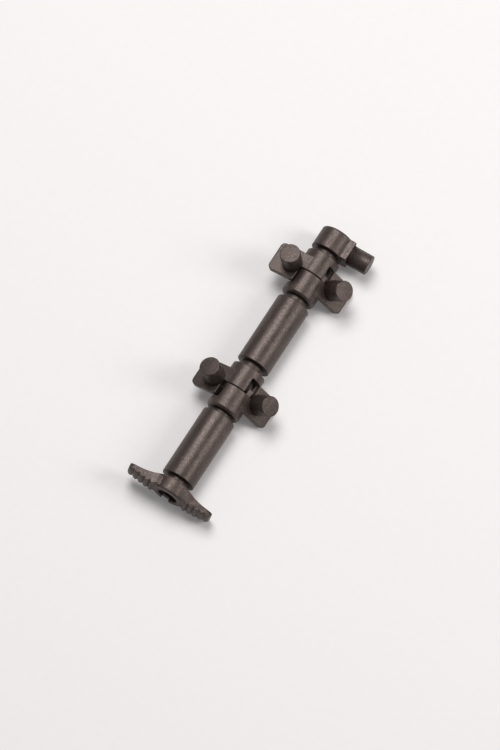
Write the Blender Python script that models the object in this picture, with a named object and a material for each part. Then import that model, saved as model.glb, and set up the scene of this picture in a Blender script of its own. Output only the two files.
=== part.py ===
"""Spool holder stand: a round column on a ribbed foot, with two pairs of swivel collars and an end cap.

The column lies along +Y, foot first, on its collars and the edge of the lower right tab. Every collar carries
a square tab with a round peg and turns about the column's spindle. Sizes are in millimetres until MM scales them.
"""

from math import asin, cos, degrees, hypot, pi, radians, sin, sqrt, tan

import bmesh
import bpy
from mathutils import Matrix, Vector

MM = 0.001
UPRIGHT = Matrix.Rotation(pi / 2, 3, "X")

# Round stock: the pegs, the spindle and the foot's socket share one 3 mm size.
PEG_RADIUS = 1.5
SLEEVE_RADIUS = 2.54
COLLAR_RADIUS = 2.6
NECK_RADIUS = 1.7

# Fits.
PRESS_GAP = 0.02
RUNNING_GAP = 0.05
FACE_GAP = 0.02

# Stations along the column, measured from the foot's top face.
RIGHT_COLLAR_LENGTH = 3.8
LEFT_COLLAR_LENGTH = 3.63
LOWER_SEAM = 17.27
UPPER_SEAM = 37.64
LOWER_SLEEVE_START = 1.72
LOWER_SLEEVE_END = 12.77
UPPER_SLEEVE_START = 21.9
UPPER_SLEEVE_END = 32.92
CAP_START = 42.12
CAP_END = 45.4

# Foot.
FOOT_ROLL = 7.0
FOOT_HALF_LENGTH = 6.75
FOOT_WIDTH = 3.4
FOOT_CENTRE_FACE = -1.15
FOOT_RIB_FACE = -1.5
FOOT_END_FACE = -1.15
FOOT_END_TOP = 0.03
FOOT_HUB_TOP = 1.0
FOOT_PLAIN_HALF = 2.3
FOOT_FLARE = 0.8
FOOT_FLARE_START = 0.6
FOOT_FLARE_LENGTH = 3.6
FOOT_CROWN = 0.36
FOOT_RING_RADIUS = 2.2
FOOT_TIP_TAPER = 0.5
FOOT_TIP_LENGTH = 0.8
RIB_COUNT = 5
RIB_DEPTH = 0.4
SOCKET_DEPTH = 3.6
SLIT_WIDTH = 1.15
SLIT_DEPTH = 0.45
SLIT_SHIFT = -0.25
STUB_END = 3.4

# Collars, in a frame with the peg along +Z and the seam at Y = 0.
COLLAR_RIM = 0.3
TAB_TOP = 2.57
TAB_THICKNESS = 0.9
TAB_REACH = 5.65
TAB_HALF_LENGTH = 2.28
TAB_CORNER = 0.7
TAB_INNER_EDGE = 1.4
PEG_OFFSET = 2.7
PEG_TIP = 5.65
WINDOW_LENGTH = 2.38
WINDOW_FROM = 52.0
WINDOW_TO = 154.0
RECESS_FROM = -153.0
RECESS_TO = -76.0
LUG_FROM = 6.0
LUG_TO = 50.0
LUG_RADIUS = 2.3
LUG_TOP = 2.35
LUG_RISE = 0.15
LUG_WALL_FROM = 36.0
LUG_WALL_LENGTH = 2.2
LUG_STEP = 0.95
LUG_INNER_RADIUS = 2.0
LUG_LENGTH = 0.95
SEAM_GAP = 0.05

# Peg directions at rest, turned about +Y from straight up.
LOWER_RIGHT_ANGLE = 42.5
LOWER_LEFT_ANGLE = -18.7
UPPER_RIGHT_ANGLE = 39.3
UPPER_LEFT_ANGLE = -8.7
CAP_ANGLE = 90.0

# Pegs and end cap.
STEM_RADIUS = 1.0
STEM_LENGTH = 0.6
PEG_CHAMFER = 0.15
BLOCK_HALF_WIDTH = 1.52
BLOCK_FACE = 3.07
CAP_PEG_TIP = 6.2
CAP_BORE_END = 44.4
SPINDLE_START = 3.5
SPINDLE_END = 44.3
SNAP_STATION = 43.7
SNAP_HALF_WIDTH = 0.3
SNAP_DEPTH = 0.12

RING_SEGMENTS = 64
BAR_LAYERS = 10
PEG_SEGMENTS = 40
EDGE = 0.12


def clear_scene():
    for item in list(bpy.data.objects):
        bpy.data.objects.remove(item, do_unlink=True)


def plastic(name, colour, roughness):
    """A dark moulded plastic with a faint metallic flake."""
    material = bpy.data.materials.new(name)
    material.use_nodes = True
    shader = material.node_tree.nodes["Principled BSDF"]
    shader.inputs["Base Color"].default_value = (*colour, 1.0)
    shader.inputs["Roughness"].default_value = roughness
    shader.inputs["Metallic"].default_value = 0.25
    return material


def finish(name, bm, colour, roughness=0.45):
    """Turn a bmesh drawn in millimetres into a named, shaded object in metres."""
    bmesh.ops.recalc_face_normals(bm, faces=bm.faces)
    bmesh.ops.scale(bm, vec=(MM, MM, MM), verts=bm.verts)
    mesh = bpy.data.meshes.new(name)
    bm.to_mesh(mesh)
    bm.free()
    obj = bpy.data.objects.new(name, mesh)
    bpy.context.scene.collection.objects.link(obj)
    mesh.materials.append(plastic(name, colour, roughness))
    return obj


def smooth(obj):
    obj.data.shade_smooth()
    obj.data.set_sharp_from_angle(angle=radians(35))


def turned(profile, segments):
    """Spin a closed (radius, station) outline about the Y axis."""
    bm = bmesh.new()
    rings = []
    for step in range(segments):
        angle = 2 * pi * step / segments
        ring = []
        for radius, station in profile:
            point = (radius * sin(angle), station, radius * cos(angle))
            ring.append(bm.verts.new(point))
        rings.append(ring)
    count = len(profile)
    for step in range(segments):
        here = rings[step]
        there = rings[(step + 1) % segments]
        for k in range(count):
            n = (k + 1) % count
            bm.faces.new((here[k], here[n], there[n], there[k]))
    return bm


def capped_turned(profile, segments):
    """Spin an open (radius, station) outline about the Y axis and cap both ends with flat discs."""
    bm = bmesh.new()
    rings = []
    for step in range(segments):
        angle = 2 * pi * step / segments
        ring = [bm.verts.new((r * sin(angle), y, r * cos(angle))) for r, y in profile]
        rings.append(ring)
    for step in range(segments):
        here = rings[step]
        there = rings[(step + 1) % segments]
        for k in range(len(profile) - 1):
            bm.faces.new((here[k], here[k + 1], there[k + 1], there[k]))
    bm.faces.new([ring[0] for ring in rings])
    bm.faces.new([ring[-1] for ring in rings])
    return bm


def prism(outline, low, high, along="Y"):
    """Extrude a flat outline: (x, z) points along Y, or (x, y) points along Z."""
    bm = bmesh.new()
    ends = []
    for level in (low, high):
        if along == "Y":
            verts = [bm.verts.new((a, level, b)) for a, b in outline]
        else:
            verts = [bm.verts.new((a, b, level)) for a, b in outline]
        ends.append(verts)
    bottom, top = ends
    count = len(outline)
    for k in range(count):
        n = (k + 1) % count
        bm.faces.new((bottom[k], bottom[n], top[n], top[k]))
    bm.faces.new(bottom)
    bm.faces.new(top)
    return bm


def combine(target, bm, operation):
    """Join a tool shape to the target or cut it away, then drop the tool."""
    tool = finish(target.name + "_tool", bm, (0.5, 0.5, 0.5))
    modifier = target.modifiers.new(operation, "BOOLEAN")
    modifier.operation = operation
    modifier.solver = "EXACT"
    modifier.object = tool
    bpy.context.view_layer.update()
    depsgraph = bpy.context.evaluated_depsgraph_get()
    result = bpy.data.meshes.new_from_object(target.evaluated_get(depsgraph))
    target.modifiers.clear()
    spare = target.data
    target.data = result
    result.materials.clear()
    result.materials.append(spare.materials[0])
    bpy.data.meshes.remove(spare)
    bpy.data.objects.remove(tool, do_unlink=True)


def polar(radius, angle):
    """A point in the X-Z plane, at an angle in degrees from +Z toward +X."""
    return (radius * sin(radians(angle)), radius * cos(radians(angle)))


def arc(radius, start, stop, steps):
    return [polar(radius, start + (stop - start) * k / steps) for k in range(steps + 1)]


def corner(cx, cy, radius, start, stop, steps=5):
    """Arc points of a rounded corner, with angles in degrees anticlockwise from +X."""
    points = []
    for k in range(steps + 1):
        angle = radians(start + (stop - start) * k / steps)
        points.append((cx + radius * cos(angle), cy + radius * sin(angle)))
    return points


def tube_profile(outer, inner, start, end, edge):
    """A plain tube with chamfered outer rims."""
    return [
        (inner, start),
        (outer - edge, start),
        (outer, start + edge),
        (outer, end - edge),
        (outer - edge, end),
        (inner, end),
    ]


# ---------------------------------------------------------------- frame of the stand


def joint_empty(name, parent, station, angle):
    """An empty on the spindle's axis, turned about it, that carries one swivelling piece."""
    empty = bpy.data.objects.new(name, None)
    empty.empty_display_size = 2 * MM
    bpy.context.scene.collection.objects.link(empty)
    empty.parent = parent
    empty.location = (0, station * MM, 0)
    empty.rotation_euler = (0, radians(angle), 0)
    return empty


# ---------------------------------------------------------------- foot


def rib_face(x):
    """Station of the foot's underside at x: a shallow arch with round ribs toward both ends."""
    pitch = (FOOT_HALF_LENGTH - FOOT_PLAIN_HALF) / RIB_COUNT
    beyond = abs(x) - FOOT_PLAIN_HALF
    if beyond <= 0:
        return FOOT_CENTRE_FACE
    reach = beyond / (FOOT_HALF_LENGTH - FOOT_PLAIN_HALF)
    face = FOOT_RIB_FACE + (FOOT_END_FACE - FOOT_RIB_FACE) * reach**2
    phase = beyond / pitch % 1.0
    crest = sqrt(max(0.0, 1 - (2 * phase - 1) ** 2))
    ribbed = face + RIB_DEPTH * (1 - crest)
    entry = min(1.0, 2 * beyond / pitch)
    return FOOT_CENTRE_FACE + (ribbed - FOOT_CENTRE_FACE) * entry


def foot_outline():
    """The bar seen from the front: ribbed underside, thin ends and a concave rise to the hub."""
    steps_per_rib = 6
    pitch = (FOOT_HALF_LENGTH - FOOT_PLAIN_HALF) / RIB_COUNT
    under = []
    for k in range(RIB_COUNT * steps_per_rib + 1):
        x = FOOT_HALF_LENGTH - pitch * k / steps_per_rib
        under.append((x, rib_face(x)))
    mirrored = [(-x, y) for x, y in reversed(under)]
    top = []
    rise = FOOT_HUB_TOP - EDGE / 2 - FOOT_END_TOP
    shoulder = SLEEVE_RADIUS - 0.35
    steps = 8
    for k in range(steps + 1):
        x = shoulder + (FOOT_HALF_LENGTH - shoulder) * k / steps
        slope = 1 - (x - shoulder) / (FOOT_HALF_LENGTH - shoulder)
        top.append((x, FOOT_END_TOP + rise * slope**2.2))
    left_top = [(-x, y) for x, y in reversed(top)]
    return under + mirrored + left_top + top


def bar_half_width(x):
    """Half the bar's width at x: it flares where it runs into the hub and tapers at the tips."""
    flare = 1 - max(0.0, abs(x) - FOOT_FLARE_START) / FOOT_FLARE_LENGTH
    tip = max(0.0, abs(x) - FOOT_HALF_LENGTH + FOOT_TIP_LENGTH) / FOOT_TIP_LENGTH
    return FOOT_WIDTH / 2 + FOOT_FLARE * max(0.0, flare) ** 2 - FOOT_TIP_TAPER * tip**2


def foot_bar():
    """Loft the outline across the bar's width; the underside is crowned outside the socket's flat ring."""
    outline = foot_outline()
    middle = (FOOT_CENTRE_FACE + FOOT_END_TOP) / 2
    bm = bmesh.new()
    layers = []
    for step in range(BAR_LAYERS + 1):
        across = 2 * step / BAR_LAYERS - 1
        layer = []
        for x, y in outline:
            z = across * bar_half_width(x)
            spread = min(1.0, max(0.0, (hypot(x, z) - FOOT_RING_RADIUS) / 0.6))
            crown = FOOT_CROWN * spread * across**2
            under = 1.0 if y < middle else -0.35
            layer.append(bm.verts.new((x, y + crown * under, z)))
        layers.append(layer)
    count = len(outline)
    for here, there in zip(layers, layers[1:]):
        for k in range(count):
            n = (k + 1) % count
            bm.faces.new((here[k], here[n], there[n], there[k]))
    bm.faces.new(layers[0])
    bm.faces.new(layers[-1])
    return bm


def build_foot(parent):
    hub = [
        (FOOT_RING_RADIUS, FOOT_CENTRE_FACE + 0.04),
        (SLEEVE_RADIUS - 0.1, FOOT_CENTRE_FACE + 0.14),
        (SLEEVE_RADIUS, FOOT_CENTRE_FACE + 0.34),
        (SLEEVE_RADIUS, FOOT_HUB_TOP - EDGE),
        (SLEEVE_RADIUS - EDGE, FOOT_HUB_TOP),
        (NECK_RADIUS, FOOT_HUB_TOP),
        (NECK_RADIUS, STUB_END),
    ]
    foot = finish("foot_crossbar", capped_turned(hub, RING_SEGMENTS), (0.055, 0.05, 0.05))
    combine(foot, foot_bar(), "UNION")
    socket = [(PEG_RADIUS, FOOT_CENTRE_FACE - 1), (PEG_RADIUS, FOOT_CENTRE_FACE + SOCKET_DEPTH)]
    combine(foot, capped_turned(socket, PEG_SEGMENTS), "DIFFERENCE")
    slit = SLIT_WIDTH / 2
    slit_top = FOOT_CENTRE_FACE + SLIT_DEPTH
    slit_floor = FOOT_CENTRE_FACE - 1
    left = SLIT_SHIFT - slit
    right = SLIT_SHIFT + slit
    box = [(left, slit_floor), (right, slit_floor), (right, slit_top), (left, slit_top)]
    combine(foot, prism(box, -2 * SLEEVE_RADIUS, 0, along="Z"), "DIFFERENCE")
    smooth(foot)
    foot.parent = parent
    foot.rotation_euler = (0, radians(FOOT_ROLL), 0)


# ---------------------------------------------------------------- fixed column


def build_sleeves(parent):
    counterbore = NECK_RADIUS + PRESS_GAP
    bore = PEG_RADIUS + PRESS_GAP
    ledge = STUB_END + 2 * FACE_GAP
    lower = [
        (counterbore, LOWER_SLEEVE_START),
        (SLEEVE_RADIUS - EDGE / 2, LOWER_SLEEVE_START),
        (SLEEVE_RADIUS, LOWER_SLEEVE_START + EDGE / 2),
        (SLEEVE_RADIUS, LOWER_SLEEVE_END - EDGE),
        (SLEEVE_RADIUS - EDGE, LOWER_SLEEVE_END),
        (bore, LOWER_SLEEVE_END),
        (bore, ledge),
        (counterbore, ledge),
    ]
    upper = tube_profile(SLEEVE_RADIUS, bore, UPPER_SLEEVE_START, UPPER_SLEEVE_END, EDGE)
    for name, profile in (("lower_sleeve", lower), ("upper_sleeve", upper)):
        sleeve = finish(name, turned(profile, RING_SEGMENTS), (0.06, 0.055, 0.055))
        smooth(sleeve)
        sleeve.parent = parent


def build_spindle(parent):
    groove = PEG_RADIUS - SNAP_DEPTH
    profile = [
        (PEG_RADIUS - EDGE, SPINDLE_START),
        (PEG_RADIUS, SPINDLE_START + EDGE),
        (PEG_RADIUS, SNAP_STATION - SNAP_HALF_WIDTH),
        (groove, SNAP_STATION - SNAP_HALF_WIDTH + SNAP_DEPTH),
        (groove, SNAP_STATION + SNAP_HALF_WIDTH - SNAP_DEPTH),
        (PEG_RADIUS, SNAP_STATION + SNAP_HALF_WIDTH),
        (PEG_RADIUS, SPINDLE_END - EDGE),
        (PEG_RADIUS - EDGE, SPINDLE_END),
    ]
    spindle = finish("spindle", capped_turned(profile, PEG_SEGMENTS), (0.05, 0.045, 0.045))
    smooth(spindle)
    spindle.parent = parent


def build_spacers(parent):
    """The narrow necks between a sleeve, a collar pair and the cap."""
    gaps = (
        (LOWER_SLEEVE_END, LOWER_SEAM - RIGHT_COLLAR_LENGTH),
        (LOWER_SEAM + LEFT_COLLAR_LENGTH, UPPER_SLEEVE_START),
        (UPPER_SLEEVE_END, UPPER_SEAM - RIGHT_COLLAR_LENGTH),
        (UPPER_SEAM + LEFT_COLLAR_LENGTH, CAP_START),
    )
    for number, (start, end) in enumerate(gaps, 1):
        bore = PEG_RADIUS + PRESS_GAP
        profile = tube_profile(NECK_RADIUS, bore, start + FACE_GAP, end - FACE_GAP, EDGE / 4)
        spacer = finish(f"neck_spacer_{number}", turned(profile, RING_SEGMENTS), (0.045, 0.04, 0.04))
        smooth(spacer)
        spacer.parent = parent


def build_washer(name, parent, seam):
    """A thin friction washer between the two collars of a pair."""
    half = SEAM_GAP - FACE_GAP
    outer = LUG_INNER_RADIUS - RUNNING_GAP
    bore = PEG_RADIUS + PRESS_GAP
    profile = [(bore, seam - half), (outer, seam - half), (outer, seam + half), (bore, seam + half)]
    washer = finish(name, turned(profile, RING_SEGMENTS), (0.04, 0.035, 0.035))
    smooth(washer)
    washer.parent = parent


# ---------------------------------------------------------------- swivel collars


def tab_plan():
    """The square tab from above; half of it overhangs the partner ring, down to its inner edge."""
    far = TAB_REACH - TAB_CORNER
    side = TAB_HALF_LENGTH - TAB_CORNER
    plan = [(0.2, -TAB_HALF_LENGTH)]
    plan += corner(far, -side, TAB_CORNER, -90, 0)
    plan += corner(far, side, TAB_CORNER, 0, 90)
    plan += [
        (TAB_INNER_EDGE, TAB_HALF_LENGTH),
        (TAB_INNER_EDGE, -1.5 * SEAM_GAP),
        (0.2, -1.5 * SEAM_GAP),
    ]
    return plan


def stop_lug():
    """Cross-section of the lug that reaches into the partner's window: a flat pad, then a lower arc."""
    edge = LUG_TOP * tan(radians(LUG_FROM))
    step_angle = degrees(asin(LUG_STEP / LUG_RADIUS))
    outside = [(edge, LUG_TOP), (LUG_STEP, LUG_TOP + LUG_RISE)] + arc(LUG_RADIUS, step_angle, LUG_TO, 6)
    inside = arc(LUG_INNER_RADIUS, LUG_TO, LUG_FROM, 8)
    return outside + inside


def lug_wall():
    """Cross-section of the thin wall that carries on under the overhanging half of the tab."""
    outside = arc(LUG_RADIUS, LUG_WALL_FROM, LUG_TO, 4)
    inside = arc(LUG_INNER_RADIUS, LUG_TO, LUG_WALL_FROM, 4)
    return outside + inside


def sector(start, stop):
    """A wide wedge about the axis, to cut a window out of a ring."""
    return [(0.0, 0.0)] + arc(3 * COLLAR_RADIUS, start, stop, 12)


def build_collar(name, parent, length, rim, window, with_lug):
    """One collar; its ring lies on the -Y side of the seam and its tab reaches +X."""
    bore = PEG_RADIUS + RUNNING_GAP
    ring = [
        (bore, -length),
        (COLLAR_RADIUS - rim, -length),
        (COLLAR_RADIUS, -length + rim),
        (COLLAR_RADIUS, -SEAM_GAP - 0.03),
        (COLLAR_RADIUS - 0.03, -SEAM_GAP),
        (bore, -SEAM_GAP),
    ]
    under = TAB_TOP - TAB_THICKNESS
    tab = prism(tab_plan(), under, TAB_TOP, along="Z")
    hole_floor = TAB_TOP - STEM_LENGTH - FACE_GAP
    hole = capped_turned([(STEM_RADIUS + PRESS_GAP, hole_floor), (STEM_RADIUS + PRESS_GAP, 4)], 32)
    bmesh.ops.rotate(hole, cent=(0, 0, 0), matrix=UPRIGHT, verts=hole.verts)
    bmesh.ops.translate(hole, vec=(PEG_OFFSET, 0, 0), verts=hole.verts)

    collar = finish(name, turned(ring, RING_SEGMENTS), (0.06, 0.055, 0.055))
    combine(collar, prism(sector(*window), -WINDOW_LENGTH, 1), "DIFFERENCE")
    combine(collar, tab, "UNION")
    if with_lug:
        combine(collar, prism(stop_lug(), -0.5, LUG_LENGTH), "UNION")
        combine(collar, prism(lug_wall(), -0.4, LUG_WALL_LENGTH), "UNION")
    combine(collar, hole, "DIFFERENCE")
    smooth(collar)
    collar.parent = parent
    return collar


def build_peg(name, parent, base, tip, offset):
    """A round peg along +Z whose stem is pressed into a blind hole."""
    stem_end = base - STEM_LENGTH
    profile = [
        (STEM_RADIUS, stem_end),
        (STEM_RADIUS, base + FACE_GAP),
        (PEG_RADIUS, base + FACE_GAP),
        (PEG_RADIUS, tip - PEG_CHAMFER),
        (PEG_RADIUS - PEG_CHAMFER, tip),
    ]
    bm = capped_turned(profile, PEG_SEGMENTS)
    bmesh.ops.rotate(bm, cent=(0, 0, 0), matrix=UPRIGHT, verts=bm.verts)
    peg = finish(name, bm, (0.065, 0.06, 0.058))
    smooth(peg)
    peg.parent = parent
    peg.location = (offset * MM, 0, 0)
    return peg


def build_pair(level, stand, seam, right_angle, left_angle):
    """A right collar on the foot side of the seam, and a left one turned end for end beyond it."""
    window = (WINDOW_FROM, WINDOW_TO)
    mirrored_window = (-window[1], -window[0])
    right_axis = joint_empty(f"{level}_right_axis", stand, seam, right_angle)
    recess = (RECESS_FROM, RECESS_TO)
    name = f"{level}_right_collar"
    build_collar(name, right_axis, RIGHT_COLLAR_LENGTH, COLLAR_RIM, recess, with_lug=True)
    build_peg(f"{level}_right_peg", right_axis, TAB_TOP, PEG_TIP, PEG_OFFSET)
    left_axis = joint_empty(f"{level}_left_axis", right_axis, 0, left_angle - right_angle)
    name = f"{level}_left_collar"
    collar = build_collar(name, left_axis, LEFT_COLLAR_LENGTH, EDGE / 2, mirrored_window, with_lug=False)
    collar.rotation_euler = (0, 0, pi)
    build_peg(f"{level}_left_peg", left_axis, TAB_TOP, PEG_TIP, -PEG_OFFSET)


# ---------------------------------------------------------------- end cap


def build_cap(stand):
    """The cap snaps over the spindle's end; its block and peg point along the empty's +Z."""
    middle = (CAP_START + CAP_END) / 2
    axis = joint_empty("end_cap_axis", stand, middle, CAP_ANGLE)
    bore = PEG_RADIUS + RUNNING_GAP
    bead = SNAP_STATION - middle
    half = SNAP_HALF_WIDTH - SNAP_DEPTH
    start = CAP_START - middle
    end = CAP_END - middle
    floor = CAP_BORE_END - middle
    shell = [
        (SLEEVE_RADIUS - EDGE / 2, start),
        (SLEEVE_RADIUS, start + EDGE / 2),
        (SLEEVE_RADIUS, end - 0.25),
        (SLEEVE_RADIUS - 0.08, end - 0.08),
        (SLEEVE_RADIUS - 0.25, end),
    ]
    bore_shape = [
        (bore, start - 1),
        (bore, bead - half),
        (bore - SNAP_DEPTH + RUNNING_GAP / 2, bead),
        (bore, bead + half),
        (bore, floor),
    ]
    cap = finish("end_cap", capped_turned(shell, RING_SEGMENTS), (0.06, 0.055, 0.055))
    side = BLOCK_HALF_WIDTH
    block = [(-side, 0), (side, 0), (side, BLOCK_FACE), (-side, BLOCK_FACE)]
    combine(cap, prism(block, -side - 0.03, side + 0.03), "UNION")
    combine(cap, capped_turned(bore_shape, PEG_SEGMENTS), "DIFFERENCE")
    hole_floor = BLOCK_FACE - STEM_LENGTH - FACE_GAP
    hole = capped_turned([(STEM_RADIUS + PRESS_GAP, hole_floor), (STEM_RADIUS + PRESS_GAP, 4)], 32)
    bmesh.ops.rotate(hole, cent=(0, 0, 0), matrix=UPRIGHT, verts=hole.verts)
    combine(cap, hole, "DIFFERENCE")
    smooth(cap)
    cap.parent = axis
    build_peg("end_cap_peg", axis, BLOCK_FACE, CAP_PEG_TIP, 0)


# ---------------------------------------------------------------- assembly


def rest_on_origin(stand):
    """Move the stand so that its bounding box stands centred on the origin."""
    bpy.context.view_layer.update()
    points = []
    for obj in bpy.context.scene.objects:
        if obj.type == "MESH":
            points += [obj.matrix_world @ vert.co for vert in obj.data.vertices]
    low = Vector(min(p[k] for p in points) for k in range(3))
    high = Vector(max(p[k] for p in points) for k in range(3))
    stand.location = (-(low.x + high.x) / 2, -(low.y + high.y) / 2, -low.z)


def main():
    clear_scene()
    stand = joint_empty("stand", None, 0, 0)
    build_foot(stand)
    build_sleeves(stand)
    build_spindle(stand)
    build_spacers(stand)
    build_washer("lower_seam_washer", stand, LOWER_SEAM)
    build_washer("upper_seam_washer", stand, UPPER_SEAM)
    build_pair("lower", stand, LOWER_SEAM, LOWER_RIGHT_ANGLE, LOWER_LEFT_ANGLE)
    build_pair("upper", stand, UPPER_SEAM, UPPER_RIGHT_ANGLE, UPPER_LEFT_ANGLE)
    build_cap(stand)
    rest_on_origin(stand)


main()
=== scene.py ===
"""Looks of the spool holder stand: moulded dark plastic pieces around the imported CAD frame, on a pale floor.

Every piece of the stand is drawn in millimetres in the frame of the spindle. Y runs along the column and
is called the station, with station 0 inside the foot. X is to the right and Z is up. place() carries the
finished mesh into the row frame. The floor, the lights and the camera are in metres in the row frame.
"""

from math import asin, cos, degrees, hypot, pi, radians, sin, sqrt, tan

import bmesh
import bpy
from mathutils import Matrix, Vector


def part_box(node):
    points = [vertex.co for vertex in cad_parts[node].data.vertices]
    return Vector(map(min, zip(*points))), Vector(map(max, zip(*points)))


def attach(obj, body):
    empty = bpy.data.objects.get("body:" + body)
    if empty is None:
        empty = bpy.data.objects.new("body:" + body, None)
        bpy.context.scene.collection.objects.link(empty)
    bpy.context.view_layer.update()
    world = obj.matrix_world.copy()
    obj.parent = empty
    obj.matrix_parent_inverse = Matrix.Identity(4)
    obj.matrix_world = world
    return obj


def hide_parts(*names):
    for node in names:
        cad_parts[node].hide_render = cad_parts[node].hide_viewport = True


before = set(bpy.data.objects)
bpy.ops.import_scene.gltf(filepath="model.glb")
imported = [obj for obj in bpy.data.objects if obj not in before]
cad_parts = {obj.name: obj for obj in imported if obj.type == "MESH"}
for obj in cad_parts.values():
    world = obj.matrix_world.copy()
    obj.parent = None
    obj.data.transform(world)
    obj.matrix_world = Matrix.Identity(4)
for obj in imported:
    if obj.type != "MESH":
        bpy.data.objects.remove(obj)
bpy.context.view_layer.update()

MM = 0.001
UPRIGHT = Matrix.Rotation(pi / 2, 3, "X")  # stands a shape that was spun about Y along +Z

# Sizes shared with the CAD part, in millimetres.
PEG_RADIUS = 1.5
SLEEVE_RADIUS = 2.54
COLLAR_RADIUS = 2.6
NECK_RADIUS = 1.7
PRESS_GAP = 0.02
RUNNING_GAP = 0.05
FACE_GAP = 0.02
RIGHT_COLLAR_LENGTH = 3.8
LEFT_COLLAR_LENGTH = 3.63
LOWER_SEAM = 17.27
UPPER_SEAM = 37.64
LOWER_SLEEVE_START = 1.72
LOWER_SLEEVE_END = 12.77
UPPER_SLEEVE_START = 21.9
UPPER_SLEEVE_END = 32.92
CAP_START = 42.12
CAP_END = 45.4
FOOT_ROLL = 7.0
FOOT_HALF_LENGTH = 6.75
FOOT_WIDTH = 3.4
FOOT_CENTRE_FACE = -1.15
FOOT_RIB_FACE = -1.5
FOOT_END_FACE = -1.15
FOOT_END_TOP = 0.03
FOOT_HUB_TOP = 1.0
FOOT_PLAIN_HALF = 2.3
FOOT_FLARE = 0.8
FOOT_FLARE_START = 0.6
FOOT_FLARE_LENGTH = 3.6
FOOT_CROWN = 0.36
FOOT_RING_RADIUS = 2.2
FOOT_TIP_TAPER = 0.5
FOOT_TIP_LENGTH = 0.8
RIB_COUNT = 5
RIB_DEPTH = 0.4
SOCKET_DEPTH = 3.6
SLIT_WIDTH = 1.15
SLIT_DEPTH = 0.45
SLIT_SHIFT = -0.25
STUB_END = 3.4
COLLAR_RIM = 0.3
TAB_TOP = 2.57
TAB_THICKNESS = 0.9
TAB_REACH = 5.65
TAB_HALF_LENGTH = 2.28
TAB_CORNER = 0.7
TAB_INNER_EDGE = 1.4
PEG_OFFSET = 2.7
PEG_TIP = 5.65
WINDOW_LENGTH = 2.38
WINDOW = (52.0, 154.0)
RECESS = (-153.0, -76.0)
LUG = (6.0, 50.0)
LUG_RADIUS = 2.3
LUG_TOP = 2.35
LUG_RISE = 0.15
LUG_WALL_FROM = 36.0
LUG_WALL_LENGTH = 2.2
LUG_STEP = 0.95
LUG_INNER_RADIUS = 2.0
LUG_LENGTH = 0.95
SEAM_GAP = 0.05
LOWER_RIGHT_ANGLE = 42.5
LOWER_LEFT_ANGLE = -18.7
UPPER_RIGHT_ANGLE = 39.3
UPPER_LEFT_ANGLE = -8.7
CAP_ANGLE = 90.0
STEM_RADIUS = 1.0
STEM_LENGTH = 0.6
BLOCK_HALF_WIDTH = 1.52
BLOCK_FACE = 3.07
CAP_PEG_TIP = 6.2
CAP_BORE_END = 44.4
SPINDLE_START = 3.5
SPINDLE_END = 44.3

# Details of the shapes, in millimetres unless the name says power or share.
POLE_RADIUS = 0.02  # of the tiny flat that closes a solid's end on its axis
HUB_POLE_RADIUS = 0.05
HUB_DISC_RISE = 0.04  # keeps the hub's disc off the bar's face, where the two would share a plane
BAR_TOP_DROP = 0.06
BAR_SHOULDER_INSET = 0.35
BAR_RISE_POWER = 2.2
CROWN_FADE = 0.6  # how far the crown takes to build up outside the ring radius
TOP_CROWN_SHARE = -0.35  # the top's crown against the underside's, the other way round
TAB_ROOT = 0.2
TAB_STEP = -1.5 * SEAM_GAP  # just short of the seam, where the tab draws back to its inner edge
LUG_ROOT = -0.5  # how far back the lug and its wall are rooted in their own ring
LUG_WALL_ROOT = -0.4
LEFT_COLLAR_RIM = 0.06
SNAP_STATION = 43.7
SNAP_HALF = 0.18  # half the groove's floor, and half the bead that sits in it
GROOVE_HALF = 0.3
GROOVE_RADIUS = 1.38
BEAD_RISE = 0.095
BLOCK_EXTRA_LENGTH = 0.03
CUT_MARGIN = 1.0  # how far a cutter runs on past the face it opens
HOLE_MARGIN = 1.4

# Edges, in millimetres: how far from its corner each rounding starts.
HUB_FOOT_EDGE = 0.3
HUB_TOP_EDGE = 0.12
SLEEVE_BORE_EDGE = 0.04
LOWER_SLEEVE_EDGES = (0.11, 0.16)
UPPER_SLEEVE_EDGES = (0.14, 0.16)
SPINDLE_EDGE = 0.14
GROOVE_EDGE = 0.05
RING_EDGE = 0.03
RING_BORE_EDGE = 0.02
COLLAR_BORE_EDGE = 0.05
COLLAR_SEAM_EDGE = 0.03
STEM_EDGE = 0.06
PEG_TIP_EDGE = 0.17
CAP_START_EDGE = 0.08
CAP_END_EDGE = 0.3

# How finely the visual meshes are drawn. A voxel is in millimetres.
SLEEVE_SEGMENTS = 144
COLLAR_SEGMENTS = 128
PEG_SEGMENTS = 112
CORE_SEGMENTS = 96
HOLE_SEGMENTS = 64
BAR_LAYERS = 24
STEPS_PER_RIB = 14
RISE_STEPS = 24
CORNER_STEPS = 10
COLLAR_VOXEL = 0.062
CAP_VOXEL = 0.06
FOOT_VOXEL = 0.055
COLLAR_SOFTENING = 4
FINE_SOFTENING = 3

spindle_low, spindle_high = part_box("spindle")
AXIS = Vector((
    (spindle_low.x + spindle_high.x) / 2,
    spindle_low.y - SPINDLE_START * MM,
    (spindle_low.z + spindle_high.z) / 2,
))
TO_ROW = Matrix.Translation(AXIS) @ Matrix.Diagonal((MM, MM, MM, 1.0))


# ---------------------------------------------------------------- mesh helpers


def soften(points, closed=False, steps=4):
    """Round the corners of an outline of (a, b, cut) points.

    The curve starts the distance cut away from its corner, and a cut of 0 leaves the corner sharp.
    """
    result = []
    count = len(points)
    for k, (a, b, cut) in enumerate(points):
        here = Vector((a, b))
        if not cut or (not closed and k in (0, count - 1)):
            result.append((a, b))
            continue
        before = Vector(points[k - 1][:2]) - here
        after = Vector(points[(k + 1) % count][:2]) - here
        first = here + before.normalized() * cut
        last = here + after.normalized() * cut
        for step in range(steps + 1):
            t = step / steps
            spot = first * (1 - t) ** 2 + here * 2 * t * (1 - t) + last * t**2
            result.append((spot.x, spot.y))
    return result


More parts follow.
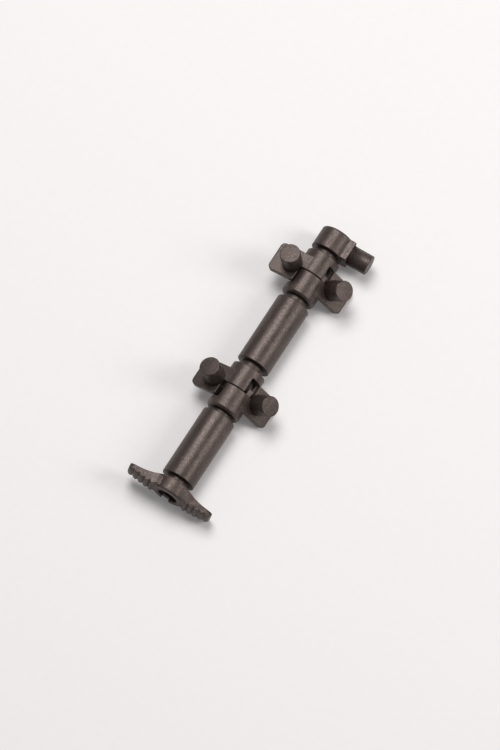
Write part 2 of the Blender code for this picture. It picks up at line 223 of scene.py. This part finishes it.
def turned(profile, segments, closed=True):
    """Spin a (radius, station) outline about Y; an open outline gets a flat cap at each end."""
    bm = bmesh.new()
    rings = []
    for step in range(segments):
        angle = 2 * pi * step / segments
        rings.append([bm.verts.new((r * sin(angle), y, r * cos(angle))) for r, y in profile])
    count = len(profile)
    last = count if closed else count - 1
    for step in range(segments):
        here = rings[step]
        there = rings[(step + 1) % segments]
        for k in range(last):
            n = (k + 1) % count
            bm.faces.new((here[k], here[n], there[n], there[k]))
    if not closed:
        bm.faces.new([ring[0] for ring in rings])
        bm.faces.new([ring[-1] for ring in rings])
    return bm


def prism(outline, low, high, along="Y"):
    """Extrude a flat outline: (x, z) points along Y, or (x, y) points along Z."""
    bm = bmesh.new()
    ends = []
    for level in (low, high):
        if along == "Y":
            ends.append([bm.verts.new((a, level, b)) for a, b in outline])
        else:
            ends.append([bm.verts.new((a, b, level)) for a, b in outline])
    bottom, top = ends
    count = len(outline)
    for k in range(count):
        n = (k + 1) % count
        bm.faces.new((bottom[k], bottom[n], top[n], top[k]))
    bm.faces.new(bottom)
    bm.faces.new(top)
    return bm


def to_object(name, bm):
    bmesh.ops.recalc_face_normals(bm, faces=bm.faces)
    mesh = bpy.data.meshes.new(name)
    bm.to_mesh(mesh)
    bm.free()
    obj = bpy.data.objects.new(name, mesh)
    bpy.context.scene.collection.objects.link(obj)
    return obj


def bake_modifiers(obj):
    """Replace the mesh by what its modifiers make of it."""
    bpy.context.view_layer.update()
    depsgraph = bpy.context.evaluated_depsgraph_get()
    result = bpy.data.meshes.new_from_object(obj.evaluated_get(depsgraph))
    obj.modifiers.clear()
    spare = obj.data
    obj.data = result
    bpy.data.meshes.remove(spare)


def combine(obj, bm, operation):
    tool = to_object(obj.name + "_tool", bm)
    modifier = obj.modifiers.new(operation, "BOOLEAN")
    modifier.operation = operation
    modifier.solver = "EXACT"
    modifier.object = tool
    bake_modifiers(obj)
    bpy.data.objects.remove(tool, do_unlink=True)


def soft_mould(obj, voxel, rounds):
    """Rebuild the mesh from voxels and relax it, so that every edge gets the small radius of a moulding."""
    remesh = obj.modifiers.new("voxels", "REMESH")
    remesh.mode = "VOXEL"
    remesh.voxel_size = voxel
    relax = obj.modifiers.new("relax", "SMOOTH")
    relax.factor = 0.5
    relax.iterations = rounds
    bake_modifiers(obj)


def polar(radius, angle):
    """A point in the X-Z plane, at an angle in degrees from +Z toward +X."""
    return (radius * sin(radians(angle)), radius * cos(radians(angle)))


def arc(radius, start, stop, steps):
    return [polar(radius, start + (stop - start) * k / steps) for k in range(steps + 1)]


def sector(start, stop):
    """A wedge from the axis out past the collar, between two angles in degrees."""
    return [(0.0, 0.0)] + arc(3 * COLLAR_RADIUS, start, stop, 12)


def about_y(angle):
    return Matrix.Rotation(radians(angle), 4, "Y")


def place(obj, matrix, body, node, material):
    """Carry a finished piece into the row frame and bind it to its body, node and material slot."""
    obj.data.transform(TO_ROW @ matrix)
    obj.data.shade_smooth()
    obj.data.materials.clear()
    obj.data.materials.append(material)
    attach(obj, body)
    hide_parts(node)


# ---------------------------------------------------------------- materials


class Nodes:
    """Short helper to build a node tree. An input is given a plain value or the output socket to link."""

    MIX_FACTOR = 0
    MIX_A = 6
    MIX_B = 7
    MIX_RESULT = 2

    def __init__(self, tree):
        self.tree = tree

    def feed(self, node, key, value):
        if isinstance(value, bpy.types.NodeSocket):
            self.tree.links.new(value, node.inputs[key])
        else:
            node.inputs[key].default_value = value

    def add(self, kind, inputs=None, **settings):
        node = self.tree.nodes.new(kind)
        for key, value in settings.items():
            setattr(node, key, value)
        for key, value in (inputs or {}).items():
            self.feed(node, key, value)
        return node

    def math(self, operation, a, b, clamp=False):
        return self.add("ShaderNodeMath", {0: a, 1: b}, operation=operation, use_clamp=clamp).outputs[0]

    def ramp(self, factor, low, high, low_value=0.0, high_value=1.0):
        """Carry the factor's span low to high onto low_value to high_value, and no further."""
        spans = {
            "Value": factor,
            "From Min": low,
            "From Max": high,
            "To Min": low_value,
            "To Max": high_value,
        }
        return self.add("ShaderNodeMapRange", spans).outputs["Result"]

    def mix(self, factor, a, b, blend="MIX"):
        inputs = {self.MIX_FACTOR: factor, self.MIX_A: a, self.MIX_B: b}
        node = self.add("ShaderNodeMix", inputs, data_type="RGBA", blend_type=blend)
        return node.outputs[self.MIX_RESULT]


# Colours are linear, texture scales are per metre, and a SPAN is the part of a pattern's range that is used.
METALLIC = 0.5
DARK = (0.072, 0.053, 0.046)
FLAKE = (0.215, 0.172, 0.157)
# painted shade: the spindle, neck spacers and seam washers sit deep in the recessed necks, so their tone is
# darkened by this factor
CORE_PAINTED_SHADE = 0.8
PATTERN_SHIFT = (0.013, 0.007, 0.0)
GRAIN_SCALE = 5200.0
GRAIN_SPAN = (0.32, 0.68)
GRAIN_SHADE = (0.62, 1.38)
MOTTLE_SCALE = 420.0
MOTTLE_SPAN = (0.3, 0.7)
MOTTLE_SHADE = (0.82, 1.18)
STREAK_SCALE = 1500.0
STREAK_STRETCH = (1.0, 0.18, 1.0)
STREAK_SPAN = (0.3, 0.7)
STREAK_SHADE = (0.84, 1.16)
FLAKE_SCALE = 10500.0
FLAKE_PICK = (0.74, 1.0)
FLAKE_CORE = (0.6, 0.15)
FLAKE_GLOSS = 0.1
FLAKE_METALLIC = 0.35
EDGE_RADIUS = 0.00018
EDGE_SPAN = (0.995, 0.86)
# The edge constants below make the base colour paler along edges, in a grainy pattern.
EDGE_PALING_SPAN = (0.35, 0.62)
EDGE_PALING_STRENGTH = 0.55
EDGE_PALING_LIFT = 1.9
GLOSS_SPAN = (0.25, 0.75)
GRAIN_GLOSS = 0.07
MOTTLE_GLOSS = 0.03
GRAIN_HEIGHT = 0.7
STREAK_HEIGHT = 0.3
BUMP_STRENGTH = 0.3
BUMP_DISTANCE = 0.00004


def flake_mask(n, place_in):
    """Bright specks: the middle of those Voronoi cells whose random colour is high enough."""
    cells = n.add("ShaderNodeTexVoronoi", {"Vector": place_in, "Scale": FLAKE_SCALE})
    chance = n.add("ShaderNodeSeparateColor", {"Color": cells.outputs["Color"]}).outputs[0]
    picked = n.ramp(chance, *FLAKE_PICK)
    core = n.ramp(cells.outputs["Distance"], *FLAKE_CORE)
    return n.math("MULTIPLY", picked, core, clamp=True)


def edge_mask(n):
    """High along edges, where the normal of a small bevel leans away from the surface's own."""
    bevelled = n.add("ShaderNodeBevel", {"Radius": EDGE_RADIUS}, samples=4)
    geometry = n.add("ShaderNodeNewGeometry")
    facing = n.add(
        "ShaderNodeVectorMath",
        {0: bevelled.outputs[0], 1: geometry.outputs["Normal"]},
        operation="DOT_PRODUCT",
    )
    return n.ramp(facing.outputs["Value"], *EDGE_SPAN)


def moulded_plastic(name, tone, flake_tone, roughness, seed):
    """Dark metallic-pigment plastic: fine grain, bright flakes, slow mottling and paler edges."""
    material = bpy.data.materials.new(name)
    material.use_nodes = True
    tree = material.node_tree
    tree.nodes.clear()
    n = Nodes(tree)
    output = n.add("ShaderNodeOutputMaterial")
    shader = n.add("ShaderNodeBsdfPrincipled")
    tree.links.new(shader.outputs[0], output.inputs[0])
    coords = n.add("ShaderNodeTexCoord").outputs["Object"]
    shift = tuple(seed * step for step in PATTERN_SHIFT)
    place_in = n.add("ShaderNodeMapping", {"Vector": coords, "Location": shift}).outputs[0]

    grain = n.add(
        "ShaderNodeTexNoise",
        {"Vector": place_in, "Scale": GRAIN_SCALE, "Detail": 4.0, "Roughness": 0.65},
    ).outputs[0]
    mottle = n.add(
        "ShaderNodeTexNoise",
        {"Vector": place_in, "Scale": MOTTLE_SCALE, "Detail": 5.0, "Roughness": 0.6},
    ).outputs[0]
    flow = n.add("ShaderNodeMapping", {"Vector": place_in, "Scale": STREAK_STRETCH}).outputs[0]
    streak = n.add("ShaderNodeTexNoise", {"Vector": flow, "Scale": STREAK_SCALE, "Detail": 4.0}).outputs[0]
    flake = flake_mask(n, place_in)
    # paler along edges, where the grain is high enough
    edge_paling = n.math("MULTIPLY", edge_mask(n), n.ramp(grain, *EDGE_PALING_SPAN), clamp=True)

    shade = n.ramp(mottle, *MOTTLE_SPAN, *MOTTLE_SHADE)
    shade = n.math("MULTIPLY", shade, n.ramp(grain, *GRAIN_SPAN, *GRAIN_SHADE))
    shade = n.math("MULTIPLY", shade, n.ramp(streak, *STREAK_SPAN, *STREAK_SHADE))
    grey = n.add("ShaderNodeCombineColor", {0: shade, 1: shade, 2: shade}).outputs[0]
    base = n.mix(1.0, (*tone, 1.0), grey, "MULTIPLY")
    base = n.mix(flake, base, (*flake_tone, 1.0))
    edge_pale_tone = tuple(min(1.0, c * EDGE_PALING_LIFT) for c in tone)
    base = n.mix(n.math("MULTIPLY", edge_paling, EDGE_PALING_STRENGTH), base, (*edge_pale_tone, 1.0))
    tree.links.new(base, shader.inputs["Base Color"])

    rough = n.ramp(grain, *GLOSS_SPAN, roughness + GRAIN_GLOSS, roughness - GRAIN_GLOSS)
    rough = n.math("SUBTRACT", rough, n.math("MULTIPLY", flake, FLAKE_GLOSS))
    uneven = n.ramp(mottle, *MOTTLE_SPAN, -MOTTLE_GLOSS, MOTTLE_GLOSS)
    tree.links.new(n.math("ADD", rough, uneven, clamp=True), shader.inputs["Roughness"])
    metallic = n.math("ADD", n.math("MULTIPLY", flake, FLAKE_METALLIC), METALLIC)
    tree.links.new(metallic, shader.inputs["Metallic"])

    relief = n.math("MULTIPLY", grain, GRAIN_HEIGHT)
    relief = n.math("ADD", relief, n.math("MULTIPLY", streak, STREAK_HEIGHT))
    bump = n.add("ShaderNodeBump", {"Height": relief, "Strength": BUMP_STRENGTH, "Distance": BUMP_DISTANCE})
    tree.links.new(bump.outputs[0], shader.inputs["Normal"])
    return material


sleeve_plastic = moulded_plastic("sleeve_plastic", DARK, FLAKE, roughness=0.42, seed=1)
collar_plastic = moulded_plastic("collar_plastic", DARK, FLAKE, roughness=0.44, seed=2)
peg_plastic = moulded_plastic("peg_plastic", DARK, FLAKE, roughness=0.46, seed=3)
foot_plastic = moulded_plastic("foot_plastic", DARK, FLAKE, roughness=0.45, seed=4)
# The core pieces get a darker tone, painted shade for the shadowed recesses they sit in.
core_painted_shade_tone = tuple(CORE_PAINTED_SHADE * c for c in DARK)
core_plastic = moulded_plastic("core_plastic", core_painted_shade_tone, FLAKE, roughness=0.48, seed=5)


# ---------------------------------------------------------------- foot


RIB_PITCH = (FOOT_HALF_LENGTH - FOOT_PLAIN_HALF) / RIB_COUNT


def rib_face(x):
    """Station of the foot's underside at x: plain in the middle, then round ribs.

    The ribs grow out of the plain face over half a pitch, stand proud of it, and draw back toward the tip.
    """
    beyond = abs(x) - FOOT_PLAIN_HALF
    if beyond <= 0:
        return FOOT_CENTRE_FACE
    reach = beyond / (FOOT_HALF_LENGTH - FOOT_PLAIN_HALF)
    face = FOOT_RIB_FACE + (FOOT_END_FACE - FOOT_RIB_FACE) * reach**2
    phase = beyond / RIB_PITCH % 1.0
    crest = sqrt(max(0.0, 1 - (2 * phase - 1) ** 2))
    ribbed = face + RIB_DEPTH * (1 - crest)
    entry = min(1.0, beyond / (RIB_PITCH / 2))
    return FOOT_CENTRE_FACE + (ribbed - FOOT_CENTRE_FACE) * entry


def foot_outline():
    """The bar seen from the front: ribbed underside, thin ends and a concave rise to the hub."""
    under = []
    for k in range(RIB_COUNT * STEPS_PER_RIB + 1):
        x = FOOT_HALF_LENGTH - RIB_PITCH * k / STEPS_PER_RIB
        under.append((x, rib_face(x)))
    top = []
    rise = FOOT_HUB_TOP - BAR_TOP_DROP - FOOT_END_TOP
    shoulder = SLEEVE_RADIUS - BAR_SHOULDER_INSET
    for k in range(RISE_STEPS + 1):
        x = shoulder + (FOOT_HALF_LENGTH - shoulder) * k / RISE_STEPS
        slope = 1 - (x - shoulder) / (FOOT_HALF_LENGTH - shoulder)
        top.append((x, FOOT_END_TOP + rise * slope**BAR_RISE_POWER))
    left_under = [(-x, y) for x, y in reversed(under)]
    left_top = [(-x, y) for x, y in reversed(top)]
    return under + left_under + left_top + top


def bar_half_width(x):
    """Half the bar's width at x: it flares where it runs into the hub and tapers at the tips."""
    flare = 1 - max(0.0, abs(x) - FOOT_FLARE_START) / FOOT_FLARE_LENGTH
    tip = max(0.0, abs(x) - FOOT_HALF_LENGTH + FOOT_TIP_LENGTH) / FOOT_TIP_LENGTH
    return FOOT_WIDTH / 2 + FOOT_FLARE * max(0.0, flare) ** 2 - FOOT_TIP_TAPER * tip**2


def foot_bar():
    """Loft the outline across the bar's width, with its underside crowned from side to side.

    The crown fades toward the column's axis. The outline has no points inside the plain stretch, so there
    the underside keeps the crown of the stretch's two ends. The top is crowned too, but less.
    """
    outline = foot_outline()
    middle = (FOOT_CENTRE_FACE + FOOT_END_TOP) / 2
    bm = bmesh.new()
    layers = []
    for step in range(BAR_LAYERS + 1):
        across = 2 * step / BAR_LAYERS - 1
        layer = []
        for x, y in outline:
            z = across * bar_half_width(x)
            spread = min(1.0, max(0.0, (hypot(x, z) - FOOT_RING_RADIUS) / CROWN_FADE))
            crown = FOOT_CROWN * spread * across**2
            share = 1.0 if y < middle else TOP_CROWN_SHARE
            layer.append(bm.verts.new((x, y + crown * share, z)))
        layers.append(layer)
    count = len(outline)
    for here, there in zip(layers, layers[1:]):
        for k in range(count):
            n = (k + 1) % count
            bm.faces.new((here[k], here[n], there[n], there[k]))
    bm.faces.new(layers[0])
    bm.faces.new(layers[-1])
    return bm


def build_foot():
    disc = FOOT_CENTRE_FACE + HUB_DISC_RISE
    hub = soften([
        (HUB_POLE_RADIUS, disc, 0),
        (SLEEVE_RADIUS, disc, HUB_FOOT_EDGE),
        (SLEEVE_RADIUS, FOOT_HUB_TOP, HUB_TOP_EDGE),
        (NECK_RADIUS, FOOT_HUB_TOP, 0),
        (NECK_RADIUS, STUB_END, 0),
        (HUB_POLE_RADIUS, STUB_END, 0),
    ])
    foot = to_object("foot_crossbar_moulded", turned(hub, CORE_SEGMENTS, closed=False))
    combine(foot, foot_bar(), "UNION")
    below = FOOT_CENTRE_FACE - CUT_MARGIN
    socket = [(PEG_RADIUS, below), (PEG_RADIUS, FOOT_CENTRE_FACE + SOCKET_DEPTH)]
    combine(foot, turned(socket, CORE_SEGMENTS, closed=False), "DIFFERENCE")
    left = SLIT_SHIFT - SLIT_WIDTH / 2
    right = SLIT_SHIFT + SLIT_WIDTH / 2
    slit_end = FOOT_CENTRE_FACE + SLIT_DEPTH
    slit = [(left, below), (right, below), (right, slit_end), (left, slit_end)]
    combine(foot, prism(slit, -2 * SLEEVE_RADIUS, 0, along="Z"), "DIFFERENCE")
    soft_mould(foot, FOOT_VOXEL, FINE_SOFTENING)
    place(foot, about_y(FOOT_ROLL), "column", "foot_crossbar", foot_plastic)


# ---------------------------------------------------------------- fixed column


def build_sleeves():
    counterbore = NECK_RADIUS + PRESS_GAP
    bore = PEG_RADIUS + PRESS_GAP
    ledge = STUB_END + 2 * FACE_GAP
    lower = [
        (counterbore, LOWER_SLEEVE_START, SLEEVE_BORE_EDGE),
        (SLEEVE_RADIUS, LOWER_SLEEVE_START, LOWER_SLEEVE_EDGES[0]),
        (SLEEVE_RADIUS, LOWER_SLEEVE_END, LOWER_SLEEVE_EDGES[1]),
        (bore, LOWER_SLEEVE_END, SLEEVE_BORE_EDGE),
        (bore, ledge, SLEEVE_BORE_EDGE),
        (counterbore, ledge, SLEEVE_BORE_EDGE),
    ]
    upper = [
        (bore, UPPER_SLEEVE_START, SLEEVE_BORE_EDGE),
        (SLEEVE_RADIUS, UPPER_SLEEVE_START, UPPER_SLEEVE_EDGES[0]),
        (SLEEVE_RADIUS, UPPER_SLEEVE_END, UPPER_SLEEVE_EDGES[1]),
        (bore, UPPER_SLEEVE_END, SLEEVE_BORE_EDGE),
    ]
    for node, corners in (("lower_sleeve", lower), ("upper_sleeve", upper)):
        profile = soften(corners, closed=True, steps=5)
        sleeve = to_object(node + "_moulded", turned(profile, SLEEVE_SEGMENTS))
        place(sleeve, Matrix(), "column", node, sleeve_plastic)


def build_spindle():
    """The core, with the groove near its end that the cap's bead snaps into."""
    profile = soften([
        (POLE_RADIUS, SPINDLE_START, 0),
        (PEG_RADIUS, SPINDLE_START, SPINDLE_EDGE),
        (PEG_RADIUS, SNAP_STATION - GROOVE_HALF, GROOVE_EDGE),
        (GROOVE_RADIUS, SNAP_STATION - SNAP_HALF, GROOVE_EDGE),
        (GROOVE_RADIUS, SNAP_STATION + SNAP_HALF, GROOVE_EDGE),
        (PEG_RADIUS, SNAP_STATION + GROOVE_HALF, GROOVE_EDGE),
        (PEG_RADIUS, SPINDLE_END, SPINDLE_EDGE),
        (POLE_RADIUS, SPINDLE_END, 0),
    ])
    spindle = to_object("spindle_moulded", turned(profile, CORE_SEGMENTS, closed=False))
    place(spindle, Matrix(), "column", "spindle", core_plastic)


def build_ring(node, outer, low, high):
    """A plain ring on the spindle, between two stations."""
    bore = PEG_RADIUS + PRESS_GAP
    profile = soften([
        (bore, low, RING_BORE_EDGE),
        (outer, low, RING_EDGE),
        (outer, high, RING_EDGE),
        (bore, high, RING_BORE_EDGE),
    ], closed=True, steps=3)
    ring = to_object(node + "_moulded", turned(profile, CORE_SEGMENTS))
    place(ring, Matrix(), "column", node, core_plastic)


def build_spacers():
    gaps = (
        (LOWER_SLEEVE_END, LOWER_SEAM - RIGHT_COLLAR_LENGTH),
        (LOWER_SEAM + LEFT_COLLAR_LENGTH, UPPER_SLEEVE_START),
        (UPPER_SLEEVE_END, UPPER_SEAM - RIGHT_COLLAR_LENGTH),
        (UPPER_SEAM + LEFT_COLLAR_LENGTH, CAP_START),
    )
    for number, (start, end) in enumerate(gaps, 1):
        build_ring(f"neck_spacer_{number}", NECK_RADIUS, start + FACE_GAP, end - FACE_GAP)


def build_washers():
    half = SEAM_GAP - FACE_GAP
    outer = LUG_INNER_RADIUS - RUNNING_GAP
    for node, seam in (("lower_seam_washer", LOWER_SEAM), ("upper_seam_washer", UPPER_SEAM)):
        build_ring(node, outer, seam - half, seam + half)


# ---------------------------------------------------------------- swivel collars


def tab_plan():
    """The square tab from above; half of it overhangs the partner ring, down to its inner edge."""
    far = TAB_REACH - TAB_CORNER
    side = TAB_HALF_LENGTH - TAB_CORNER
    plan = [(TAB_ROOT, -TAB_HALF_LENGTH)]
    for centre, start in ((-side, -90), (side, 0)):
        for k in range(CORNER_STEPS + 1):
            angle = radians(start + 90 * k / CORNER_STEPS)
            plan.append((far + TAB_CORNER * cos(angle), centre + TAB_CORNER * sin(angle)))
    plan += [
        (TAB_INNER_EDGE, TAB_HALF_LENGTH),
        (TAB_INNER_EDGE, TAB_STEP),
        (TAB_ROOT, TAB_STEP),
    ]
    return plan


def stop_lug():
    """Cross-section of the lug that reaches into the partner's window: a rising pad, then a lower arc."""
    start, stop = LUG
    step_angle = degrees(asin(LUG_STEP / LUG_RADIUS))
    pad = [(LUG_TOP * tan(radians(start)), LUG_TOP), (LUG_STEP, LUG_TOP + LUG_RISE)]
    return pad + arc(LUG_RADIUS, step_angle, stop, 12) + arc(LUG_INNER_RADIUS, stop, start, 16)


def lug_wall():
    """Cross-section of the longer wall at the lug's far side."""
    stop = LUG[1]
    return arc(LUG_RADIUS, LUG_WALL_FROM, stop, 8) + arc(LUG_INNER_RADIUS, stop, LUG_WALL_FROM, 8)


def peg_hole(face, offset):
    """The blind hole for a peg's stem, standing on +Z."""
    floor = face - STEM_LENGTH - FACE_GAP
    radius = STEM_RADIUS + PRESS_GAP
    hole = turned([(radius, floor), (radius, face + HOLE_MARGIN)], HOLE_SEGMENTS, closed=False)
    bmesh.ops.rotate(hole, cent=(0, 0, 0), matrix=UPRIGHT, verts=hole.verts)
    bmesh.ops.translate(hole, vec=(offset, 0, 0), verts=hole.verts)
    return hole


def build_collar(node, body, matrix, length, rim, window, with_lug):
    """One collar; its ring lies on the -Y side of the seam and its tab reaches +X."""
    bore = PEG_RADIUS + RUNNING_GAP
    ring = soften([
        (bore, -length, COLLAR_BORE_EDGE),
        (COLLAR_RADIUS - rim, -length, rim / 4),
        (COLLAR_RADIUS, -length + rim, rim / 4),
        (COLLAR_RADIUS, -SEAM_GAP, COLLAR_SEAM_EDGE),
        (bore, -SEAM_GAP, COLLAR_SEAM_EDGE),
    ], closed=True, steps=3)
    under = TAB_TOP - TAB_THICKNESS
    collar = to_object(node + "_moulded", turned(ring, COLLAR_SEGMENTS))
    combine(collar, prism(sector(*window), -WINDOW_LENGTH, CUT_MARGIN), "DIFFERENCE")
    combine(collar, prism(tab_plan(), under, TAB_TOP, along="Z"), "UNION")
    if with_lug:
        combine(collar, prism(stop_lug(), LUG_ROOT, LUG_LENGTH), "UNION")
        combine(collar, prism(lug_wall(), LUG_WALL_ROOT, LUG_WALL_LENGTH), "UNION")
    combine(collar, peg_hole(TAB_TOP, PEG_OFFSET), "DIFFERENCE")
    soft_mould(collar, COLLAR_VOXEL, COLLAR_SOFTENING)
    place(collar, matrix, body, node, collar_plastic)


def build_peg(node, body, matrix, base, tip):
    """A round peg along +Z whose stem is pressed into a blind hole."""
    profile = soften([
        (POLE_RADIUS, base - STEM_LENGTH, 0),
        (STEM_RADIUS, base - STEM_LENGTH, STEM_EDGE),
        (STEM_RADIUS, base + FACE_GAP, 0),
        (PEG_RADIUS, base + FACE_GAP, 0),
        (PEG_RADIUS, tip, PEG_TIP_EDGE),
        (POLE_RADIUS, tip, 0),
    ], steps=6)
    shape = turned(profile, PEG_SEGMENTS, closed=False)
    bmesh.ops.rotate(shape, cent=(0, 0, 0), matrix=UPRIGHT, verts=shape.verts)
    peg = to_object(node + "_moulded", shape)
    place(peg, matrix, body, node, peg_plastic)


def build_pair(level, seam, right_angle, left_angle):
    """A right collar on the foot side of the seam, and a left one turned end for end beyond it."""
    at_seam = Matrix.Translation((0, seam, 0))
    right = at_seam @ about_y(right_angle)
    right_peg = right @ Matrix.Translation((PEG_OFFSET, 0, 0))
    body = f"{level}_right"
    build_collar(f"{body}_collar", body, right, RIGHT_COLLAR_LENGTH, COLLAR_RIM, RECESS, with_lug=True)
    build_peg(f"{body}_peg", body, right_peg, TAB_TOP, PEG_TIP)
    left = at_seam @ about_y(left_angle)
    left_peg = left @ Matrix.Translation((-PEG_OFFSET, 0, 0))
    end_for_end = left @ Matrix.Rotation(pi, 4, "Z")
    window = (-WINDOW[1], -WINDOW[0])
    body = f"{level}_left"
    build_collar(
        f"{body}_collar", body, end_for_end, LEFT_COLLAR_LENGTH, LEFT_COLLAR_RIM, window, with_lug=False
    )
    build_peg(f"{body}_peg", body, left_peg, TAB_TOP, PEG_TIP)


# ---------------------------------------------------------------- end cap


def build_cap():
    """The cap snaps over the spindle's end; its block and peg point along its own +Z."""
    middle = (CAP_START + CAP_END) / 2
    bore = PEG_RADIUS + RUNNING_GAP
    bead = SNAP_STATION - middle
    start = CAP_START - middle
    end = CAP_END - middle
    shell = soften([
        (POLE_RADIUS, start, 0),
        (SLEEVE_RADIUS, start, CAP_START_EDGE),
        (SLEEVE_RADIUS, end, CAP_END_EDGE),
        (POLE_RADIUS, end, 0),
    ], steps=6)
    bore_shape = [
        (bore, start - CUT_MARGIN),
        (bore, bead - SNAP_HALF),
        (bore - BEAD_RISE, bead),
        (bore, bead + SNAP_HALF),
        (bore, CAP_BORE_END - middle),
    ]
    cap = to_object("end_cap_moulded", turned(shell, COLLAR_SEGMENTS, closed=False))
    side = BLOCK_HALF_WIDTH
    along = side + BLOCK_EXTRA_LENGTH
    block = [(-side, 0), (side, 0), (side, BLOCK_FACE), (-side, BLOCK_FACE)]
    combine(cap, prism(block, -along, along), "UNION")
    combine(cap, turned(bore_shape, CORE_SEGMENTS, closed=False), "DIFFERENCE")
    combine(cap, peg_hole(BLOCK_FACE, 0), "DIFFERENCE")
    soft_mould(cap, CAP_VOXEL, FINE_SOFTENING)
    matrix = Matrix.Translation((0, middle, 0)) @ about_y(CAP_ANGLE)
    place(cap, matrix, "end_cap", "end_cap", collar_plastic)
    build_peg("end_cap_peg", "end_cap", matrix, BLOCK_FACE, CAP_PEG_TIP)


build_foot()
build_sleeves()
build_spindle()
build_spacers()
build_washers()
build_pair("lower", LOWER_SEAM, LOWER_RIGHT_ANGLE, LOWER_LEFT_ANGLE)
build_pair("upper", UPPER_SEAM, UPPER_RIGHT_ANGLE, UPPER_LEFT_ANGLE)
build_cap()


# ---------------------------------------------------------------- floor, light and camera


FLOOR_HALF = 2.0
FLOOR_DARK_TONE = (0.78, 0.765, 0.76, 1.0)
FLOOR_PALE_TONE = (0.81, 0.795, 0.79, 1.0)
FIBRE_SCALE = 900.0
CAMERA_RIGHT = (0.8513, 0.5250, 0.0)
CAMERA_BACK = (0.1831, -0.2970, 0.9372)
CAMERA_DISTANCE = 0.634
AIM_RIGHT = 0.01109
AIM_UP = 0.01621


def build_floor():
    shape = bmesh.new()
    signs = ((-1, -1), (1, -1), (1, 1), (-1, 1))
    shape.faces.new([shape.verts.new((x * FLOOR_HALF, y * FLOOR_HALF, 0)) for x, y in signs])
    floor = to_object("floor", shape)
    material = bpy.data.materials.new("floor_paper")
    material.use_nodes = True
    tree = material.node_tree
    shader = tree.nodes["Principled BSDF"]
    n = Nodes(tree)
    coords = n.add("ShaderNodeTexCoord").outputs["Object"]
    fibre = n.add("ShaderNodeTexNoise", {"Vector": coords, "Scale": FIBRE_SCALE, "Detail": 3.0})
    settings = {
        "Base Color": n.mix(fibre.outputs[0], FLOOR_DARK_TONE, FLOOR_PALE_TONE),
        "Roughness": 0.7,
        "Specular IOR Level": 0.2,
        "Emission Color": (1.0, 0.97, 0.965, 1.0),
        "Emission Strength": 0.1,
    }
    for key, value in settings.items():
        n.feed(shader, key, value)
    floor.data.materials.append(material)


def softbox(name, direction, distance, width, height, power, tint):
    """A rectangular light at a distance from the origin, facing it."""
    light = bpy.data.lights.new(name, "AREA")
    light.shape = "RECTANGLE"
    light.size = width
    light.size_y = height
    light.energy = power
    light.color = tint
    obj = bpy.data.objects.new(name, light)
    bpy.context.scene.collection.objects.link(obj)
    toward = Vector(direction).normalized()
    obj.location = toward * distance
    obj.rotation_mode = "QUATERNION"
    obj.rotation_quaternion = toward.to_track_quat("Z", "Y")


def build_light():
    softbox(
        "overhead_softbox",
        direction=(-0.25, 0.30, 0.92),
        distance=0.50,
        width=0.24,
        height=0.30,
        power=1.85,
        tint=(1.0, 0.985, 0.98),
    )
    softbox(
        "right_softbox",
        direction=(0.76, 0.30, 0.58),
        distance=0.50,
        width=0.20,
        height=0.26,
        power=0.95,
        tint=(1.0, 0.975, 0.955),
    )
    world = bpy.data.worlds.new("studio")
    world.use_nodes = True
    background = world.node_tree.nodes["Background"]
    background.inputs["Color"].default_value = (0.92, 0.91, 0.92, 1.0)
    background.inputs["Strength"].default_value = 0.2
    bpy.context.scene.world = world


def build_camera():
    """A long lens 69.6 degrees above the floor, 31.7 degrees round to the right from the foot's end."""
    right = Vector(CAMERA_RIGHT).normalized()
    back = Vector(CAMERA_BACK).normalized()
    up = back.cross(right).normalized()
    right = up.cross(back).normalized()
    aim = AXIS + right * AIM_RIGHT + up * AIM_UP
    lens = bpy.data.cameras.new("camera")
    lens.sensor_width = 36.0
    lens.lens = 216.0
    lens.clip_start = 0.05
    lens.clip_end = 10.0
    camera = bpy.data.objects.new("camera", lens)
    bpy.context.scene.collection.objects.link(camera)
    rotation = Matrix((right, up, back)).transposed().to_4x4()
    camera.matrix_world = Matrix.Translation(aim + back * CAMERA_DISTANCE) @ rotation
    bpy.context.scene.camera = camera


build_floor()
build_light()
build_camera()
bpy.context.scene.view_settings.view_transform = "Standard"
